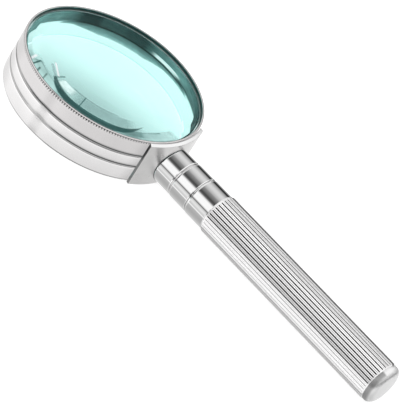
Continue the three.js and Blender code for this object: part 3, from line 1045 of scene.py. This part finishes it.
def grip():
    """Fluted sleeve; its rounded ends are cut down to a greatest radius."""
    uncut = 9
    face = [(0.2, 6.5), (0.02, 6.62), (0, 6.7)]     # distance from the end, radius
    start = [  # distance from the start, greatest radius
        (0, 7.42), (0.03, 7.50), (0.20, 7.66), (0.42, 7.86), (0.62, 8.00), (0.80, uncut),
        (0.95, uncut)]
    end = [  # distance from the end, greatest radius
        (0.75, uncut), (0.60, uncut), (0.45, 7.98), (0.15, 7.76), (0, 7.60)]
    stations = [(GRIP_START + d, limit) for d, limit in start]
    stations += [(GRIP_START + (GRIP_END - GRIP_START) * i / 8, uncut) for i in range(1, 8)]
    stations += [(GRIP_END - d, limit) for d, limit in end]
    rows = [ring_x(GRIP_START + d, radius, GRIP_COUNT) for d, radius in face]
    for x, limit in stations:
        rows.append(ring_x(x, lambda angle: min(flute(angle), limit), GRIP_COUNT))
    rows += [ring_x(GRIP_END - d, radius, GRIP_COUNT) for d, radius in face[::-1]]
    ob = rings("grip_visual", rows, sharp=25)
    weight_normals(ob)
    return ob


def end_cap():
    """Straight wall, an elliptical shoulder and a slightly domed end."""
    wall_end, rise = 143.75, 2.9
    face_r, face_rise = 4.35, 0.25
    start = GRIP_END + 0.08
    points = [(ROD_HOLE_R, start, 0.1), (CAP_R, start, 0.12), (CAP_R, wall_end)]
    for i in range(1, 33):
        angle = math.radians(90 * i / 32)
        points.append((face_r + (CAP_R - face_r) * math.cos(angle),
                       wall_end + (rise - face_rise) * math.sin(angle)))
    for i in range(1, 9):
        r = face_r * (1 - i / 8)
        points.append((r, CAP_END - face_rise * (r / face_r) ** 2))
    points += [(0, 145.6), (ROD_HOLE_R, 145.3, 0.1)]
    return turned("cap_visual", points, "x", 192)


install(grip(), "handle", grip_bright, "grip_sleeve")
install(end_cap(), "end_cap", cap_satin, "end_cap")


# ------------------------------------------------------------------ inside the handle
def threaded(name, head, start, end, radius, pitch, depth):
    """Rod with plain stations (x, radius), then a helical thread from start to end."""
    count, steps_per_turn = 48, 10
    rows = [ring_x(x, r, count) for x, r in head]
    steps = int((end - start) / pitch * steps_per_turn)
    for i in range(steps + 1):
        x = start + (end - start) * i / steps
        taper = 0.45 * (1 - min(1.0, (end - x) / 0.5 + 0.05))
        rows.append(ring_x(x, lambda angle: radius - depth * triangle(
            x / pitch - angle / TAU) - taper, count))
    ob = rings(name, rows, sharp=60, capped=True)
    tidy(ob)
    return ob


def washer(name, node, outside, inner_fillet, outer_fillet):
    """Plain ring that fills the length of its CAD piece."""
    start, end = [corner[0] for corner in box_mm(node)]
    return turned(name, [
        (ROD_HOLE_R, start, inner_fillet), (outside, start, outer_fillet),
        (outside, end, outer_fillet), (ROD_HOLE_R, end, inner_fillet),
    ], "x", 96)


start, end = [corner[0] for corner in box_mm("handle_stud")]
stud = threaded("stud_visual", [
    (start, 4.0), (start + 0.05, 4.2), (start + 0.4, 4.2), (start + 0.45, 4.1),
    (start + 0.47, 2.8), (36.4, 2.8),
], start=36.6, end=end, radius=2.9, pitch=1.0, depth=0.5)
install(stud, "head", turned_steel, "handle_stud")

start, end = [corner[0] for corner in box_mm("tie_rod")]
rod = threaded("rod_visual", [
    (start, 2.1), (start + 0.3, 2.4), (start + 0.5, 2.5), (120.0, 2.5), (136.6, 2.5),
    (136.8, 2.3),
], start=137.0, end=end, radius=2.5, pitch=0.8, depth=0.4)
install(rod, "handle", turned_steel, "tie_rod")

install(washer("bush_visual", "rear_bush", 6.2, 0.1, 0.3),
        "handle", turned_steel, "rear_bush")
install(washer("cap_washer_visual", "cap_washer", 5.4, 0.08, 0.12),
        "cap_washer", turned_steel, "cap_washer")

for number in range(1, 5):
    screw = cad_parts[f"saddle_screw_{number}"]
    screw.data.materials.clear()
    screw.data.materials.append(turned_steel)

# ------------------------------------------------------------------ world
# What the metal mirrors, as 8-bit sRGB greys.
# Round the handle: degrees from +z towards +y, grey
NECK_TONES = [
    (-180, 185), (-167, 175), (-151, 170), (-135, 180), (-119, 200), (-103, 230), (-93, 200),
    (-88, 50), (-83, 215), (-78, 250), (-52, 250), (-46, 220), (-40, 105), (-31, 65), (-23, 100),
    (-7, 140), (1, 180), (17, 210), (25, 215), (33, 210), (49, 175), (57, 145), (63, 75),
    (69, 25), (75, 35), (81, 100), (97, 200), (105, 225), (121, 240), (145, 215), (161, 200),
    (180, 185)]
# Round the drum: degrees from +x towards +y, grey
DRUM_TONES = [
    (-180, 240), (-143, 240), (-113, 240), (-83, 230), (-53, 225), (-23, 220), (3, 220),
    (20, 195), (45, 205), (70, 215), (95, 235), (120, 230), (147, 215), (165, 225), (180, 240)]
# Elsewhere: z of the direction, grey
LEVEL_TONES = [
    (-1.0, 205), (-0.65, 225), (-0.54, 215), (-0.30, 190), (-0.14, 130), (-0.04, 85),
    (0.04, 150), (0.12, 225), (0.22, 235), (0.30, 150), (0.35, 120), (0.41, 225), (0.50, 250),
    (1.0, 240)]


def mirrored(stops, metal_grey):
    """Stops with the linear light that a metal of this grey turns into the given tones."""
    linear = []
    for position, grey in stops:
        v = grey / 255.0
        light = v / 12.92 if v <= 0.04045 else ((v + 0.055) / 1.055) ** 2.4
        linear.append((position, light / metal_grey))
    return linear


def build_world():
    world = bpy.data.worlds.new("studio")
    bpy.context.scene.world = world
    graph = Graph(world)
    x, y, z = graph.node("TexCoord", output="Generated").split()
    neck = turns(y.math("ARCTAN2", z)).ramp_degrees(mirrored(NECK_TONES, NECK_GREY))
    wall = turns(y.math("ARCTAN2", x)).ramp_degrees(mirrored(DRUM_TONES, DRUM_GREY))
    wall = wall.tinted(z.band(-0.9, -0.1, smooth=False).ramp(
        [(0.0, 0.62), (0.45, 1.0), (0.75, 1.3), (1.0, 0.9)]))
    level = z.band(-1, 1, smooth=False).ramp(
        [((height + 1) / 2, light) for height, light in mirrored(LEVEL_TONES, NECK_GREY)])
    # distance from the directions that the handle and the drum's wall reflect to the camera
    off_neck = abs(x + VIEW_X)
    off_wall = abs(z + VIEW_Z)
    is_wall = off_wall.band(0.36, 0.20)
    is_neck = off_neck.band(0.12, 0.05) * off_wall.band(0.07, 0.02).times_plus(-0.85, 1.0)
    low_side = abs(x).band(0.45, 0.62) * z.band(0.10, -0.15)
    level = low_side.mix(level, (0.12, 0.12, 0.12))
    sky = is_neck.mix(is_wall.mix(level, wall), neck)
    camera_ray = graph.node("LightPath", output="Is Camera Ray")
    background = graph.node("Background", {"Color": camera_ray.mix(sky, (1.0, 1.0, 1.0))})
    graph.node("OutputWorld", [background])


# ------------------------------------------------------------------ floor
def floor_material():
    """White and softly lit; seen through the glass it glows brighter and carries a painted shadow
    of the drum.
    """
    material = bpy.data.materials.new("floor_white")
    graph = Graph(material)
    path = graph.node("LightPath")
    transmitted = path.output("Is Transmission Ray")
    seen = path.output("Is Camera Ray").max(transmitted)
    # painted light: the floor glows, and brighter still for rays through the glass
    strength = transmitted.times_plus(0.25, seen.times_plus(0.32, 0.42))
    x, y, _ = graph.node("NewGeometry", output="Position").split()
    along = x * -FLAT_VIEW_X + y * -FLAT_VIEW_Y
    x, y, _ = graph.node("NewGeometry", output="Incoming").split()
    slant = (x * FLAT_VIEW_X + y * FLAT_VIEW_Y).band(0.25, 0.45)
    # painted shadow of the drum, seen only through the glass and along the view
    shade = along.band(2, 22, MM, smooth=False).ramp(
        [(0.0, 0.36), (0.1, 0.45), (0.25, 0.60), (0.4, 0.76), (0.6, 0.9), (0.9, 1.0)])
    colour = (transmitted * slant).mix((1.0, 1.0, 1.0), shade)
    lit = graph.node("AddShader", [
        graph.node("BsdfDiffuse", {"Color": (0.55, 0.55, 0.55)}),
        graph.node("Emission", {"Color": colour, "Strength": strength})])
    # clear from below
    surface = graph.mix_shader(graph.node("NewGeometry", output="Backfacing"),
                               lit, graph.node("BsdfTransparent"))
    graph.node("OutputMaterial", [surface])
    return material


def build_floor():
    z = (Z_BACK - 0.02) * MM
    half = 3.0  # metres
    mesh = bpy.data.meshes.new("floor")
    mesh.from_pydata([(-half, -half, z), (half, -half, z), (half, half, z), (-half, half, z)],
                     [], [(0, 1, 2, 3)])
    floor = bpy.data.objects.new("floor", mesh)
    bpy.context.scene.collection.objects.link(floor)
    floor.visible_glossy = False
    mesh.materials.append(floor_material())


# ------------------------------------------------------------------ light and camera
def build_key():
    light = bpy.data.lights.new("key", "AREA")
    light.shape = "DISK"
    light.size = 0.9
    light.energy = 2.2
    key = bpy.data.objects.new("key", light)
    key.location = (-0.35, -0.25, 0.95)
    target = Vector((0.05, 0, 0))
    key.rotation_mode = "QUATERNION"
    key.rotation_quaternion = (target - key.location).to_track_quat("-Z", "Y")
    key.visible_glossy = False
    bpy.context.scene.collection.objects.link(key)


def build_camera():
    """Camera aimed past the centre of the drum's front."""
    azimuth, elevation, roll = [math.radians(a) for a in (22.937, 32.497, 33.315)]
    distance = 1024.319625                          # mm, along the view
    offset_right, offset_up = -29.428875, 44.989875  # mm, of the drum's centre in the view
    back = Vector((math.sin(azimuth) * math.cos(elevation),
                   -math.cos(azimuth) * math.cos(elevation), math.sin(elevation)))
    level = Vector((math.cos(azimuth), math.sin(azimuth), 0))
    above = back.cross(level)
    right = math.cos(roll) * level + math.sin(roll) * above
    up = -math.sin(roll) * level + math.cos(roll) * above
    place = (back * distance - right * offset_right - up * offset_up) * MM
    place += Vector((0, 0, Z_FRONT * MM))
    data = bpy.data.cameras.new("camera")
    data.sensor_width = 36
    data.lens = 262.1696889
    data.clip_start, data.clip_end = 0.05, 20
    camera = bpy.data.objects.new("camera", data)
    bpy.context.scene.collection.objects.link(camera)
    rows = [(right[i], up[i], back[i], place[i]) for i in range(3)]
    camera.matrix_world = Matrix((*rows, (0, 0, 0, 1)))
    bpy.context.scene.camera = camera


build_world()
build_floor()
build_key()
build_camera()
bpy.context.scene.view_settings.view_transform = "Standard"
bpy.context.scene.view_settings.look = "None"
